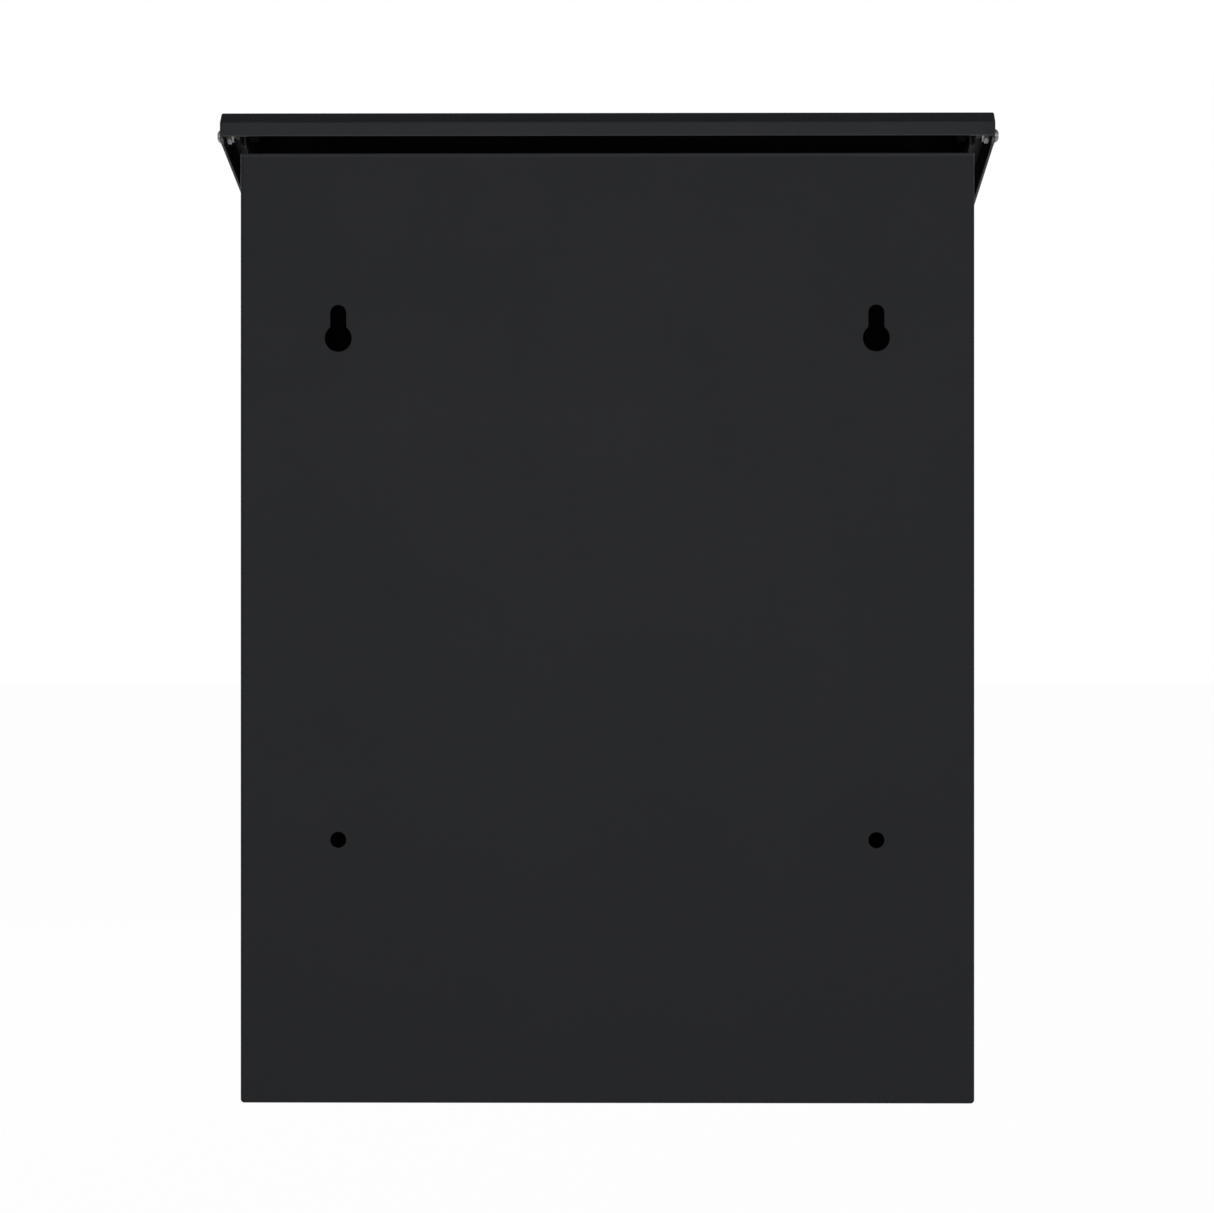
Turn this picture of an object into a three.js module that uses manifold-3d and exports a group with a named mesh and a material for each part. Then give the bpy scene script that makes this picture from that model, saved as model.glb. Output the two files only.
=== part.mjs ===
// Wall mounted mailbox: a box folded from sheet steel, a sloping lid hinged over its open top,
// a front door on pivot pins with a cam lock, and keyholes in the back panel for wall screws.
//
// Millimetres, +Z up. The origin is the centre of the back panel's rear face. +Y points into
// the wall and the front faces -Y. Depth is measured forward from the wall, so y = -depth.

import * as THREE from 'three';
import { mergeVertices } from 'three/addons/utils/BufferGeometryUtils.js';
import Module from 'manifold-3d';

const wasm = await Module();
wasm.setup();

// ---------------------------------------------------------------- driving dimensions

const fit = 0.3; // gap left wherever one piece seats on or passes through another

// Box
const boxWidth = 302;
const boxHeight = 391;
const boxDepth = 100;
const boxSheet = 1.0;
const boxBend = 1.5; // outside bend radius
const topLip = 4; // forward fold along the top of the back panel
const cornerRelief = 1.2; // notch where the three folds meet at each lower rear corner
const cornerReliefLength = 4; // how far the notch runs forward from the wall

// Holes for the wall screws
const wallHoleSpacing = 221.3;
const keyholeDiameter = 11;
const keySlotWidth = 6.5;
const keySlotFromTop = 65.8; // top edge of the box down to the centre of the slot's end
const keySlotTravel = 10.4; // slot's end down to the centre of the entry circle
const lowerHoleDiameter = 6.5;
const lowerHoleDrop = 216.8; // slot's end down to the lower hole

// Lid
const lidSheet = 1.2;
const lidBend = 1.6;
const lidSideGap = 7.8; // box side to the inside of the lid's skirt
const lidFrontGap = 7.8;
const lidSlope = 0.24; // fall per millimetre of depth
const lidRearInset = 3; // wall to the lid's rear face
const rearWallLift = 7.5; // top of the box up to the lid's rear wall
const rearWallHeight = 6;
const ridgeChamfer = 4.5;
const skirtHeight = 13.2;
const skirtCorner = 7;

// Lid pivot
const pivotDepth = 14;
const pivotLift = 9.3; // above the top of the box
const lidClearance = 0.8; // lid's underside to the top of the side walls
const notchClearance = 0.7; // beyond the circle that the lid's rear wall sweeps
const webClearance = 1; // pivot axis to the rear edge of the ear's web
const hingeScrewRadius = 1.5;
const screwHeadRadius = 2.8;
const screwHeadHeight = 2.4;
const bushingWall = 0.7;
const bushingFlangeRadius = 3.8;
const bushingFlangeThickness = 1.5;
const nutFlats = 5.5;
const nutHexHeight = 2.1;
const nutCollarRadius = 2.45;
const nutCollarHeight = 1.2;
const capRadius = 2.75;
const capLength = 4.9;
const capBoreDepth = 3.4;

// Front frame and door
const frameTopDrop = 8.5; // top of the box down to the frame's top fold
const frameReturn = 12;
const frameSideBorder = 18;
const frameBottomBorder = 20;
const frameTopBorder = 22;
const doorReveal = 1.2;
const doorSheet = 1.0;
const doorReturn = 10;
const doorBend = 2;
const doorPivotInset = 4; // from the door's front face and from its hinge edge
const pinRadius = 2;
const pinHeadHeight = 1.5;
const pinReach = 1.5; // past the inside of the door's fold
const doorWasherRadius = 3.6;

// Rubber bumpers under the lid
const bumperSpacing = 240;
const bumperRadius = 4;
const bumperStemRadius = 1.5;
const bumperFootRadius = 2.6;
const bumperFootHeight = 1.4;

// Cam lock
const lockInset = 15; // door's free edge to the lock's axis
const lockBodyRadius = 8;
const lockFlangeRadius = 11;
const lockFlangeThickness = 2;
const lockBodyLength = 14;
const lockNutFlats = 21;
const lockNutThickness = 3;
const lockWasherRadius = 11;
const lockWasherThickness = 0.6;
const plugRadius = 5.5;
const plugRecess = 0.4;
const keywayWidth = 1.6;
const keywayHeight = 6.4;
const keywayDepth = 8;
const camThickness = 2;
const camWidth = 11;
const camReach = 24;
const camSquare = 6;
const camWasherRadius = 4.6;
const camWasherThickness = 0.8;
const camBoltRadius = 1.7;
const camBoltHeadFlats = 7;
const camBoltHeadHeight = 3;
const camBoltReach = 9;

// ---------------------------------------------------------------- derived places

const boxHalf = boxWidth / 2;
const boxTop = boxHeight / 2;
const boxBottom = -boxHeight / 2;
const pivotZ = boxTop + pivotLift;

const ridgeDepth = lidRearInset + ridgeChamfer;
const ridgeZ = boxTop + rearWallLift + rearWallHeight + ridgeChamfer;
const skirtInside = boxHalf + lidSideGap;
const lidHalf = skirtInside + lidSheet;
const lidFront = boxDepth + lidFrontGap + lidSheet;
const slopeLength = Math.hypot(1, lidSlope); // sloped length per millimetre of depth
const lidTopAt = (depth) => ridgeZ - lidSlope * (depth - ridgeDepth);
const lidUnderAt = (depth) => lidTopAt(depth) - lidSheet * slopeLength;
const pivotToLid = (lidUnderAt(pivotDepth) - pivotZ) / slopeLength;
const earRadius = pivotToLid - lidClearance;
const sideTopAt = (depth) => lidUnderAt(depth) - lidClearance * slopeLength;
const rearCornerLift = rearWallLift + rearWallHeight - pivotLift;
const lidSweep = Math.hypot(pivotDepth - lidRearInset, rearCornerLift);

const frameHalf = boxHalf - boxSheet - fit;
const frameTop = boxTop - frameTopDrop;
const frameBottom = boxBottom + boxSheet + fit;
const openingHalf = boxHalf - frameSideBorder;
const openingTop = frameTop - frameTopBorder;
const openingBottom = boxBottom + frameBottomBorder;
const doorHalf = openingHalf - doorReveal;
const doorTop = openingTop - doorReveal;
const doorBottom = openingBottom + doorReveal;
const pinHeadRadius = doorPivotInset - boxSheet - fit; // just clears the frame's front
const doorAxisX = -doorHalf + doorPivotInset;
const doorAxisDepth = boxDepth - doorPivotInset;
const lockX = doorHalf - lockInset;
const lockZ = (doorTop + doorBottom) / 2;

// ---------------------------------------------------------------- shape helpers

// A closed outline through corners [u, v, radius], with each radius drawn as an arc.
function outline(corners, arcStep = Math.PI / 12) {
  const points = [];
  const count = corners.length;
  corners.forEach(([u, v, radius = 0], index) => {
    const corner = new THREE.Vector2(u, v);
    if (radius <= 0) {
      points.push(corner);
      return;
    }
    const [beforeU, beforeV] = corners[(index + count - 1) % count];
    const [afterU, afterV] = corners[(index + 1) % count];
    const toBefore = new THREE.Vector2(beforeU, beforeV).sub(corner).normalize();
    const toAfter = new THREE.Vector2(afterU, afterV).sub(corner).normalize();
    const halfAngle = Math.acos(toBefore.dot(toAfter)) / 2;
    const inward = toBefore.clone().add(toAfter).normalize();
    const centre = corner.clone().addScaledVector(inward, radius / Math.sin(halfAngle));
    const start = corner.clone().addScaledVector(toBefore, radius / Math.tan(halfAngle));
    const spoke = start.sub(centre);
    const turn = Math.sign(toAfter.cross(toBefore)) * (Math.PI - 2 * halfAngle);
    const steps = Math.max(2, Math.ceil(Math.abs(turn) / arcStep));
    for (let step = 0; step <= steps; step += 1) {
      const turned = spoke.clone().rotateAround(new THREE.Vector2(), (turn * step) / steps);
      points.push(turned.add(centre));
    }
  });
  return new THREE.Shape(points);
}

function extrude(shape, length) {
  return new THREE.ExtrudeGeometry(shape, { depth: length, bevelEnabled: false });
}

// Turns a geometry into a manifold solid, with shared vertices merged and faces outward.
function toSolid(geometry) {
  const bare = geometry.clone();
  bare.deleteAttribute('normal');
  bare.deleteAttribute('uv');
  const merged = mergeVertices(bare, 1e-4);
  const position = merged.getAttribute('position');
  const corners = [0, 1, 2].map(() => new THREE.Vector3());
  const triangles = [];
  let volume = 0;
  for (let first = 0; first < merged.index.count; first += 3) {
    const [a, b, c] = [0, 1, 2].map((offset) => merged.index.getX(first + offset));
    if (a !== b && b !== c && c !== a) {
      triangles.push([a, b, c]);
      [a, b, c].forEach((vertex, slot) => corners[slot].fromBufferAttribute(position, vertex));
      volume += corners[0].dot(corners[1].clone().cross(corners[2]));
    }
  }
  const outward = volume > 0 ? triangles : triangles.map(([a, b, c]) => [a, c, b]);
  return new wasm.Manifold(new wasm.Mesh({
    numProp: 3,
    vertProperties: new Float32Array(position.array),
    triVerts: new Uint32Array(outward.flat()),
  }));
}

function toGeometry(solid) {
  const mesh = solid.getMesh();
  const geometry = new THREE.BufferGeometry();
  geometry.setAttribute('position', new THREE.BufferAttribute(mesh.vertProperties, 3));
  geometry.setIndex(new THREE.BufferAttribute(mesh.triVerts, 1));
  geometry.computeVertexNormals();
  return geometry;
}

const xAxis = new THREE.Vector3(1, 0, 0);
const zAxis = new THREE.Vector3(0, 0, 1);
const forward = new THREE.Vector3(0, -1, 0);

// Outline in (depth, z), carried across from x0 to x1.
function acrossX(shape, x0, x1) {
  const basis = new THREE.Matrix4().makeBasis(forward, zAxis, xAxis.clone().negate());
  return toSolid(extrude(shape, x1 - x0).applyMatrix4(basis).translate(x1, 0, 0));
}

// Outline in (x, z), carried forward from depth0 to depth1.
function throughDepth(shape, depth0, depth1) {
  const basis = new THREE.Matrix4().makeBasis(xAxis, zAxis, forward);
  return toSolid(extrude(shape, depth1 - depth0).applyMatrix4(basis).translate(0, -depth0, 0));
}

// Outline in (x, y), carried up from z0 to z1.
function upZ(shape, z0, z1) {
  return toSolid(extrude(shape, z1 - z0).translate(0, 0, z0));
}

function block(x0, x1, depth0, depth1, z0, z1) {
  const geometry = new THREE.BoxGeometry(x1 - x0, depth1 - depth0, z1 - z0);
  return toSolid(geometry.translate((x0 + x1) / 2, -(depth0 + depth1) / 2, (z0 + z1) / 2));
}

// A turned piece: profile points [radius, distance], standing on the +Y axis.
function turned(profile, sides = 24) {
  return new THREE.LatheGeometry(profile.map(([r, t]) => new THREE.Vector2(r, t)), sides);
}

// A round bar or cutter from t0 to t1 along the +Y axis; 6 sides make a hexagon.
function bar(radius, t0, t1, sides = 24) {
  const geometry = new THREE.CylinderGeometry(radius, radius, t1 - t0, sides);
  return geometry.translate(0, (t0 + t1) / 2, 0);
}

const hexRadius = (acrossFlats) => acrossFlats / Math.sqrt(3);

// These three stand a turned geometry along +X, forward along -Y, or up along +Z.
const alongX = (geometry) => geometry.rotateZ(-Math.PI / 2);
const alongForward = (geometry) => geometry.rotateX(Math.PI);
const alongZ = (geometry) => geometry.rotateX(Math.PI / 2);

const moved = (geometry, x, depth, z) => toSolid(geometry.translate(x, -depth, z));

// ---------------------------------------------------------------- finishes and assembly

const finish = (color, roughness, metalness) => ({ color, roughness, metalness });
const blackCoat = finish(0x2a2b2d, 0.62, 0.1);
const zinc = finish(0xb9bcbf, 0.35, 0.9);
const chrome = finish(0xd2d4d6, 0.18, 1.0);
const blackNylon = finish(0x1b1b1c, 0.55, 0.0);
const whiteNylon = finish(0xd9d7cf, 0.5, 0.0);
const rubber = finish(0x1d1d1e, 0.85, 0.0);

const mailbox = new THREE.Group();

function addPiece(name, solid, look, parent = mailbox) {
  const mesh = new THREE.Mesh(toGeometry(solid), new THREE.MeshStandardMaterial(look));
  mesh.name = name;
  parent.add(mesh);
  return mesh;
}

// ---------------------------------------------------------------- body shell

// One blank folded into back, sides and bottom. Each side wall rises behind the lid's skirt
// into an ear for the lid pivot, and is cut away behind it so the lid's rear wall can swing.
function bodyShell() {
  const plan = outline([
    [-boxHalf, -boxDepth],
    [boxHalf, -boxDepth],
    [boxHalf, 0, boxBend],
    [-boxHalf, 0, boxBend],
  ]);
  const insideHalf = boxHalf - boxSheet;
  const hollowPlan = outline([
    [-insideHalf, -2 * boxDepth],
    [insideHalf, -2 * boxDepth],
    [insideHalf, -boxSheet, boxBend - boxSheet],
    [-insideHalf, -boxSheet, boxBend - boxSheet],
  ]);
  const notchFloor = pivotZ - lidSweep - notchClearance;
  const webDepth = pivotDepth + webClearance;
  const sideOutline = outline([
    [0, boxBottom, boxBend],
    [0, boxTop, boxBend],
    [topLip, boxTop],
    [topLip + boxTop - notchFloor, notchFloor],
    [webDepth, notchFloor],
    [webDepth, pivotZ - earRadius],
    [pivotDepth - earRadius, pivotZ - earRadius, earRadius],
    [pivotDepth - earRadius, sideTopAt(pivotDepth - earRadius), earRadius],
    [boxDepth, sideTopAt(boxDepth)],
    [boxDepth, boxBottom],
  ]);
  const lip = outline([
    [0, boxTop - 2 * topLip],
    [0, boxTop, boxBend],
    [topLip, boxTop],
    [topLip, boxTop - boxSheet],
    [boxSheet, boxTop - boxSheet, boxBend - boxSheet],
    [boxSheet, boxTop - 2 * topLip],
  ]);
  const tall = ridgeZ;
  let shell = upZ(plan, boxBottom, tall)
    .subtract(upZ(hollowPlan, boxBottom + boxSheet, tall + boxSheet))
    .intersect(acrossX(sideOutline, -boxWidth, boxWidth))
    .add(acrossX(lip, -insideHalf + boxBend, insideHalf - boxBend));
  const pivotBore = bar(hingeScrewRadius + bushingWall + 2 * fit, -boxWidth, boxWidth);
  shell = shell.subtract(moved(alongX(pivotBore), 0, pivotDepth, pivotZ));

  const slotZ = boxTop - keySlotFromTop;
  const slotHalf = keySlotWidth / 2;
  [-1, 1].forEach((side) => {
    const holeX = (side * wallHoleSpacing) / 2;
    const slot = outline([
      [holeX - slotHalf, slotZ - keySlotTravel],
      [holeX + slotHalf, slotZ - keySlotTravel],
      [holeX + slotHalf, slotZ + slotHalf, slotHalf],
      [holeX - slotHalf, slotZ + slotHalf, slotHalf],
    ]);
    const entry = bar(keyholeDiameter / 2, -boxSheet, 2 * boxSheet, 32);
    const lower = bar(lowerHoleDiameter / 2, -boxSheet, 2 * boxSheet);
    const relief = outline([
      [side * (boxHalf + cornerRelief), boxBottom - cornerRelief],
      [side * (boxHalf - 2 * cornerRelief), boxBottom - cornerRelief],
      [side * (boxHalf + cornerRelief), boxBottom + 2 * cornerRelief],
    ]);
    shell = shell
      .subtract(throughDepth(slot, -boxSheet, 2 * boxSheet))
      .subtract(moved(alongForward(entry), holeX, 0, slotZ - keySlotTravel))
      .subtract(moved(alongForward(lower), holeX, 0, slotZ - lowerHoleDrop))
      .subtract(throughDepth(relief, -boxSheet, cornerReliefLength));
  });
  return shell;
}

addPiece('body_shell', bodyShell(), blackCoat);

// ---------------------------------------------------------------- lid shell

// Rear wall, chamfered ridge, sloping top and front lip in one fold, with a skirt each side.
function lidShell() {
  const rearBottom = boxTop + rearWallLift;
  const shoulder = rearBottom + rearWallHeight;
  const lowerAt = (depth) => lidTopAt(depth) - skirtHeight;
  const innerRear = lidRearInset + lidSheet;
  const innerFront = lidFront - lidSheet;
  const innerBend = lidBend - lidSheet;
  // The inner chamfer runs parallel to the outer one, a sheet's thickness inside it.
  const chamferShift = lidSheet * Math.SQRT2;
  const innerChamfer = (depth) => shoulder + (depth - lidRearInset) - chamferShift;
  const ridgeMeet = (lidUnderAt(0) - innerChamfer(0)) / (1 + lidSlope);
  const fold = outline([
    [lidRearInset, rearBottom],
    [innerRear, rearBottom],
    [innerRear, innerChamfer(innerRear)],
    [ridgeMeet, lidUnderAt(ridgeMeet)],
    [innerFront, lidUnderAt(innerFront), innerBend],
    [innerFront, lowerAt(lidFront)],
    [lidFront, lowerAt(lidFront)],
    [lidFront, lidTopAt(lidFront), lidBend],
    [ridgeDepth, ridgeZ, lidBend],
    [lidRearInset, shoulder, lidBend],
  ]);
  const skirt = outline([
    [lidRearInset, lowerAt(lidRearInset), skirtCorner],
    [lidFront, lowerAt(lidFront)],
    [lidFront, lidTopAt(lidFront), lidBend],
    [ridgeDepth, ridgeZ, lidBend],
    [lidRearInset, shoulder, lidBend],
  ]);
  let shell = acrossX(fold, -lidHalf, lidHalf);
  shell = shell.add(acrossX(skirt, -lidHalf, -skirtInside));
  shell = shell.add(acrossX(skirt, skirtInside, lidHalf));
  const screwHole = bar(hingeScrewRadius + fit, -boxWidth, boxWidth);
  return shell.subtract(moved(alongX(screwHole), 0, pivotDepth, pivotZ));
}

addPiece('lid_shell', lidShell(), blackCoat);

// ---------------------------------------------------------------- lid pivots, one each side

// Everything on the pivot is turned about it and laid out outward from the box's middle:
// cap, side wall with its bushing, bare thread, lock nut, skirt, screw head.
const capOuterEnd = boxHalf - boxSheet - 2 * fit;
const capInnerEnd = capOuterEnd - capLength;
const bushingFlangeStart = boxHalf + fit;
const headSeat = lidHalf + fit;
const nutOuterEnd = skirtInside - fit;

function hingeScrew() {
  const tip = capOuterEnd - capBoreDepth + fit;
  const recess = 1.0;
  const crown = headSeat + screwHeadHeight;
  const body = toSolid(alongX(turned([
    [0, tip],
    [hingeScrewRadius - 0.3, tip],
    [hingeScrewRadius, tip + 0.3],
    [hingeScrewRadius, headSeat],
    [screwHeadRadius, headSeat],
    [screwHeadRadius, headSeat + 0.45 * screwHeadHeight],
    [0.82 * screwHeadRadius, crown - 0.15 * screwHeadHeight],
    [0.5 * screwHeadRadius, crown],
    [0, crown],
  ])));
  // Crossed slots in the head.
  const slotHalfWidth = 0.32;
  const slotReach = 0.62 * screwHeadRadius;
  const arm = new THREE.BoxGeometry(2 * recess, 2 * slotReach, 2 * slotHalfWidth);
  const crossArm = new THREE.BoxGeometry(2 * recess, 2 * slotHalfWidth, 2 * slotReach);
  return body
    .subtract(toSolid(arm.translate(crown, 0, 0)))
    .subtract(toSolid(crossArm.translate(crown, 0, 0)));
}

function lockNut() {
  const collarStart = nutOuterEnd - nutHexHeight;
  const hex = toSolid(alongX(bar(hexRadius(nutFlats), collarStart, nutOuterEnd, 6)));
  const collar = bar(nutCollarRadius, collarStart - nutCollarHeight, collarStart + 0.5);
  const bore = bar(hingeScrewRadius + fit, collarStart - 2 * nutCollarHeight, skirtInside);
  return hex.add(toSolid(alongX(collar))).subtract(toSolid(alongX(bore)));
}

function pivotBushing() {
  const bore = hingeScrewRadius + fit;
  const sleeve = bore + bushingWall;
  return toSolid(alongX(turned([
    [bore, boxHalf - boxSheet],
    [sleeve, boxHalf - boxSheet],
    [sleeve, bushingFlangeStart],
    [bushingFlangeRadius, bushingFlangeStart],
    [bushingFlangeRadius, bushingFlangeStart + bushingFlangeThickness],
    [bore, bushingFlangeStart + bushingFlangeThickness],
    [bore, boxHalf - boxSheet],
  ])));
}

function pivotCap() {
  const bore = hingeScrewRadius + fit;
  return toSolid(alongX(turned([
    [0, capInnerEnd],
    [0.6 * capRadius, capInnerEnd],
    [capRadius, capInnerEnd + 0.3 * capRadius],
    [capRadius, capOuterEnd],
    [bore, capOuterEnd],
    [bore, capOuterEnd - capBoreDepth],
    [0, capOuterEnd - capBoreDepth],
  ])));
}

[['left', Math.PI], ['right', 0]].forEach(([sideName, turn]) => {
  const pivot = new THREE.Group();
  pivot.position.set(0, -pivotDepth, pivotZ);
  pivot.rotation.z = turn;
  addPiece(`pivot_bushing_${sideName}`, pivotBushing(), blackNylon, pivot);
  addPiece(`hinge_screw_${sideName}`, hingeScrew(), zinc, pivot);
  addPiece(`hinge_lock_nut_${sideName}`, lockNut(), zinc, pivot);
  addPiece(`pivot_cap_${sideName}`, pivotCap(), blackNylon, pivot);
  mailbox.add(pivot);
});

// ---------------------------------------------------------------- front frame

// A tray that stands inside the box's front edge, with a folded return round the doorway.
function frontFrame() {
  const rear = boxDepth - frameReturn;
  const skin = boxDepth - boxSheet;
  const behind = rear - frameReturn;
  const ahead = boxDepth + frameReturn;
  const inner = frameHalf - boxSheet;
  const tray = block(-frameHalf, frameHalf, rear, boxDepth, frameBottom, frameTop)
    .subtract(block(-inner, inner, behind, skin, frameBottom + boxSheet, frameTop - boxSheet));
  const collarHalf = openingHalf + boxSheet;
  const collar = block(
    -collarHalf, collarHalf, rear, boxDepth, openingBottom - boxSheet, openingTop + boxSheet,
  );
  const doorway = block(-openingHalf, openingHalf, behind, ahead, openingBottom, openingTop);
  let frame = tray.add(collar).subtract(doorway);
  const pinHole = bar(pinRadius + fit, openingBottom - 2 * boxSheet, openingTop + 2 * boxSheet);
  frame = frame.subtract(moved(alongZ(pinHole), doorAxisX, doorAxisDepth, 0));
  [-1, 1].forEach((side) => {
    const stemHole = bar(bumperStemRadius + fit, frameTop - 2 * boxSheet, frameTop + boxSheet);
    const bumperX = (side * bumperSpacing) / 2;
    frame = frame.subtract(moved(alongZ(stemHole), bumperX, bumperDepth(), 0));
  });
  return frame;
}

// The bumpers stand midway along the frame's top fold.
function bumperDepth() {
  return boxDepth - (frameReturn + boxSheet) / 2;
}

addPiece('front_frame', frontFrame(), blackCoat);

// ---------------------------------------------------------------- lid bumpers

function lidBumper() {
  const seat = frameTop + fit;
  const top = lidUnderAt(bumperDepth() + bumperRadius) - fit;
  const foot = frameTop - boxSheet - fit;
  return turned([
    [0, foot - bumperFootHeight],
    [0.6 * bumperFootRadius, foot - bumperFootHeight],
    [bumperFootRadius, foot],
    [bumperStemRadius, foot],
    [bumperStemRadius, seat],
    [bumperRadius, seat],
    [bumperRadius, seat + 0.6 * (top - seat)],
    [0.8 * bumperRadius, seat + 0.9 * (top - seat)],
    [0.5 * bumperRadius, top],
    [0, top],
  ]);
}

[['left', -1], ['right', 1]].forEach(([sideName, side]) => {
  const bumperX = (side * bumperSpacing) / 2;
  const bumper = moved(alongZ(lidBumper()), bumperX, bumperDepth(), 0);
  addPiece(`lid_bumper_${sideName}`, bumper, rubber);
});

// ---------------------------------------------------------------- door and its pivots

function doorPanel() {
  const rear = boxDepth - doorReturn;
  const skin = boxDepth - doorSheet;
  const plan = outline([
    [-doorHalf, -rear],
    [-doorHalf, -boxDepth, doorBend],
    [doorHalf, -boxDepth, doorBend],
    [doorHalf, -rear],
  ]);
  const elevation = outline([
    [rear, doorBottom],
    [boxDepth, doorBottom, doorBend],
    [boxDepth, doorTop, doorBend],
    [rear, doorTop],
  ]);
  const hollowPlan = outline([
    [-doorHalf + doorSheet, doorReturn - rear],
    [-doorHalf + doorSheet, -skin, doorBend - doorSheet],
    [doorHalf - doorSheet, -skin, doorBend - doorSheet],
    [doorHalf - doorSheet, doorReturn - rear],
  ]);
  const lockHole = bar(lockBodyRadius + fit, rear, boxDepth + doorReturn, 32);
  const pinHole = bar(pinRadius + fit, 2 * doorBottom, 2 * doorTop);
  return upZ(plan, doorBottom, doorTop)
    .intersect(acrossX(elevation, -boxWidth, boxWidth))
    .subtract(upZ(hollowPlan, doorBottom + doorSheet, doorTop - doorSheet))
    .subtract(moved(alongForward(lockHole), lockX, 0, lockZ))
    .subtract(moved(alongZ(pinHole), doorAxisX, doorAxisDepth, 0));
}

addPiece('door_panel', doorPanel(), blackCoat);

// Each pin stands through the frame's return and the door's fold. Distances are upward from
// the edge of the doorway, and the lower pin is the same piece turned over.
function doorPin() {
  const head = boxSheet + fit;
  const tip = -doorReveal - doorSheet - pinReach;
  return turned([
    [0, tip],
    [pinRadius - 0.4, tip],
    [pinRadius, tip + 0.4],
    [pinRadius, head],
    [pinHeadRadius, head],
    [pinHeadRadius, head + 0.7 * pinHeadHeight],
    [0.7 * pinHeadRadius, head + pinHeadHeight],
    [0, head + pinHeadHeight],
  ]);
}

function doorWasher() {
  const bore = pinRadius + fit;
  return turned([
    [bore, fit - doorReveal],
    [doorWasherRadius, fit - doorReveal],
    [doorWasherRadius, -fit],
    [bore, -fit],
    [bore, fit - doorReveal],
  ]);
}

[['upper', openingTop, 0], ['lower', openingBottom, Math.PI]].forEach(([level, edge, turn]) => {
  const pivot = new THREE.Group();
  pivot.position.set(doorAxisX, -doorAxisDepth, edge);
  pivot.rotation.x = turn;
  addPiece(`door_pin_${level}`, toSolid(alongZ(doorPin())), zinc, pivot);
  addPiece(`door_washer_${level}`, toSolid(alongZ(doorWasher())), whiteNylon, pivot);
  mailbox.add(pivot);
});

// ---------------------------------------------------------------- cam lock

// Distances along the lock's axis are measured forward from the door's outer face.
const lockGroup = new THREE.Group();
lockGroup.position.set(lockX, -boxDepth, lockZ);
mailbox.add(lockGroup);

const lockFlangeSeat = fit;
const lockFace = lockFlangeSeat + lockFlangeThickness;
const lockRear = -lockBodyLength;
const doorInside = -doorSheet;
const camFront = lockRear - fit;
const camRear = camFront - camThickness;
const camWasherFront = camRear - fit;
const camBoltSeat = camWasherFront - camWasherThickness - fit;

function lockHousing() {
  const bore = plugRadius + fit;
  return toSolid(alongForward(turned([
    [bore, lockRear],
    [lockBodyRadius, lockRear],
    [lockBodyRadius, lockFlangeSeat],
    [lockFlangeRadius, lockFlangeSeat],
    [lockFlangeRadius, lockFace - 0.6 * lockFlangeThickness],
    [lockFlangeRadius - 0.6 * lockFlangeThickness, lockFace],
    [bore, lockFace],
    [bore, lockRear],
  ], 32)));
}

function ring(outerRadius, innerRadius, t0, t1, sides) {
  const margin = t1 - t0;
  const outer = toSolid(alongForward(bar(outerRadius, t0, t1, sides)));
  return outer.subtract(toSolid(alongForward(bar(innerRadius, t0 - margin, t1 + margin, 32))));
}

function lockPlug() {
  const body = toSolid(alongForward(bar(plugRadius, lockRear, lockFace - plugRecess, 32)));
  const stubHalf = camSquare / 2;
  const stub = block(-stubHalf, stubHalf, camRear + fit, lockRear + 1, -stubHalf, stubHalf);
  const keyway = block(
    -keywayWidth / 2, keywayWidth / 2,
    lockFace - keywayDepth, lockFace + keywayDepth,
    -keywayHeight / 2, keywayHeight / 2,
  );
  const boltBore = bar(camBoltRadius + fit, camRear - fit, lockRear - camThickness + camBoltReach);
  return body.add(stub).subtract(keyway).subtract(toSolid(alongForward(boltBore)));
}

// The cam hangs straight down at rest, unlocked, and turns to reach behind the frame.
function lockCam() {
  const half = camWidth / 2;
  const arm = outline([
    [-half, half, half],
    [-half, -camReach, 0.3 * half],
    [half, -camReach, 0.3 * half],
    [half, half, half],
  ]);
  const holeHalf = camSquare / 2 + fit;
  const hole = block(-holeHalf, holeHalf, 2 * camRear, 0, -holeHalf, holeHalf);
  return throughDepth(arm, camRear, camFront).subtract(hole);
}

function camBolt() {
  const tip = lockRear - camThickness + camBoltReach - fit;
  const headEnd = camBoltSeat - camBoltHeadHeight;
  const head = toSolid(alongForward(bar(hexRadius(camBoltHeadFlats), headEnd, camBoltSeat, 6)));
  return head.add(toSolid(alongForward(bar(camBoltRadius, camBoltSeat - 1, tip))));
}

const housingBore = lockBodyRadius + fit;
const lockWasherFront = doorInside - fit;
const lockWasherRear = lockWasherFront - lockWasherThickness;
const lockNutFront = lockWasherRear - fit;
const lockNutRear = lockNutFront - lockNutThickness;
const lockWasher = ring(lockWasherRadius, housingBore, lockWasherRear, lockWasherFront, 32);
const lockNutBody = ring(hexRadius(lockNutFlats), housingBore, lockNutRear, lockNutFront, 6);
const camWasherRear = camWasherFront - camWasherThickness;
const camWasher = ring(camWasherRadius, camBoltRadius + fit, camWasherRear, camWasherFront, 24);

addPiece('lock_housing', lockHousing(), chrome, lockGroup);
addPiece('lock_washer', lockWasher, zinc, lockGroup);
addPiece('lock_mounting_nut', lockNutBody, zinc, lockGroup);
addPiece('lock_plug', lockPlug(), chrome, lockGroup);
addPiece('lock_cam', lockCam(), zinc, lockGroup);
addPiece('cam_washer', camWasher, zinc, lockGroup);
addPiece('cam_bolt', camBolt(), zinc, lockGroup);

export default mailbox;
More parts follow.
